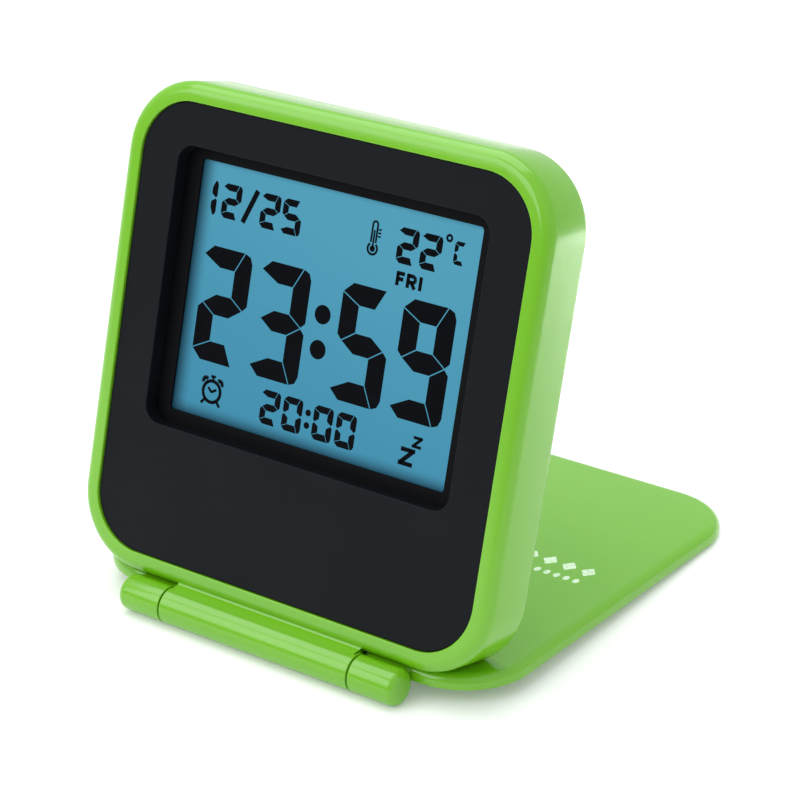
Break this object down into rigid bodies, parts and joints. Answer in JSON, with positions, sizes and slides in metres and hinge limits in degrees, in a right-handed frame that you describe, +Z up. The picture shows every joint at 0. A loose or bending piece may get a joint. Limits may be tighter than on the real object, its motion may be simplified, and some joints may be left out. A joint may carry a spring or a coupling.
{
  "type": "travel alarm clock",
  "caption": "Folding travel alarm clock: square lime case with a black panel and blue display, leaning back on its own swung-round flip cover.",
  "frame": {"origin": "on the table, at the centre of the standing clock's outline", "axes": "+Z up, display facing -Y and leaning back 15 degrees, +X to the right of someone facing the display"},
  "size_m": [0.075, 0.0816, 0.0775],
  "materials": {
    "lime_plastic": "glossy injection-moulded ABS",
    "panel_black": "satin moulded panel",
    "frame_black": "matt black display frame",
    "lcd_blue": "polarizer film over the lit display",
    "clear_glass": "thin display glass",
    "light_guide": "clear acrylic",
    "white_film": "white reflector film",
    "led_white": "white lamp package",
    "zebra_rubber": "striped silicone rubber",
    "circuit_green": "green solder mask",
    "chip_resin": "black epoxy resin",
    "component_tan": "ceramic and tinned ends",
    "bright_steel": "nickel-plated steel",
    "pin_steel": "ground steel pin",
    "sounder_brass": "thin brass disc with a ceramic centre",
    "spring_brass": "phosphor bronze strip",
    "key_grey": "dark grey moulded keys",
    "print_white": "white pad-printed ornament"
  },
  "bodies": {
    "clock_body": {"front_case": "lime_plastic", "back_cover": "lime_plastic", "front_panel": "panel_black", "display_frame": "frame_black", "front_polarizer": "lcd_blue", "front_glass": "clear_glass", "rear_glass": "clear_glass", "rear_polarizer": "lcd_blue", "light_guide": "light_guide", "reflector_film": "white_film", "backlight_leds": "led_white", "contact_strip": "zebra_rubber", "circuit_board": "circuit_green", "clock_chip": "chip_resin", "quartz_crystal": "bright_steel", "temperature_sensor": "chip_resin", "board_parts": "component_tan", "key_switches": "bright_steel", "piezo_disc": "sounder_brass", "piezo_springs": "bright_steel", "coin_cell": "bright_steel", "cell_contact_positive": "spring_brass", "cell_contact_negative": "spring_brass", "case_screws": "bright_steel", "board_screws": "bright_steel"},
    "flip_cover": {"cover": "lime_plastic", "hinge_pin_left": "pin_steel", "hinge_pin_right": "pin_steel"},
    "door": {"battery_door": "lime_plastic"},
    "mode_key": {"mode_button": "key_grey"},
    "set_key": {"set_button": "key_grey"},
    "up_key": {"up_button": "key_grey"},
    "down_key": {"down_button": "key_grey"},
    "snooze_key": {"snooze_button": "key_grey"}
  },
  "joints": [
    {"name": "cover_hinge", "type": "hinge", "parent": "clock_body", "child": "flip_cover", "pos_m": [0, -0.03801, 0.0028], "axis": [-1, 0, 0], "range_deg": [0, 283.06]},
    {"name": "door_twist", "type": "hinge", "parent": "clock_body", "child": "door", "pos_m": [0, -0.0222, 0.01911], "axis": [0, 0.9659, -0.2588], "range_deg": [0, 45]},
    {"name": "mode_press", "type": "slide", "parent": "clock_body", "child": "mode_key", "axis": [0, -0.9659, 0.2588], "range_m": [0, 0.0004], "stiffness_N_per_m": 500, "springref_m": -0.0008},
    {"name": "set_press", "type": "slide", "parent": "clock_body", "child": "set_key", "axis": [0, -0.9659, 0.2588], "range_m": [0, 0.0004], "stiffness_N_per_m": 500, "springref_m": -0.0008},
    {"name": "up_press", "type": "slide", "parent": "clock_body", "child": "up_key", "axis": [0, -0.9659, 0.2588], "range_m": [0, 0.0004], "stiffness_N_per_m": 500, "springref_m": -0.0008},
    {"name": "down_press", "type": "slide", "parent": "clock_body", "child": "down_key", "axis": [0, -0.9659, 0.2588], "range_m": [0, 0.0004], "stiffness_N_per_m": 500, "springref_m": -0.0008},
    {"name": "snooze_press", "type": "slide", "parent": "clock_body", "child": "snooze_key", "axis": [0, -0.9659, 0.2588], "range_m": [0, 0.0004], "stiffness_N_per_m": 500, "springref_m": -0.0008}
  ]
}
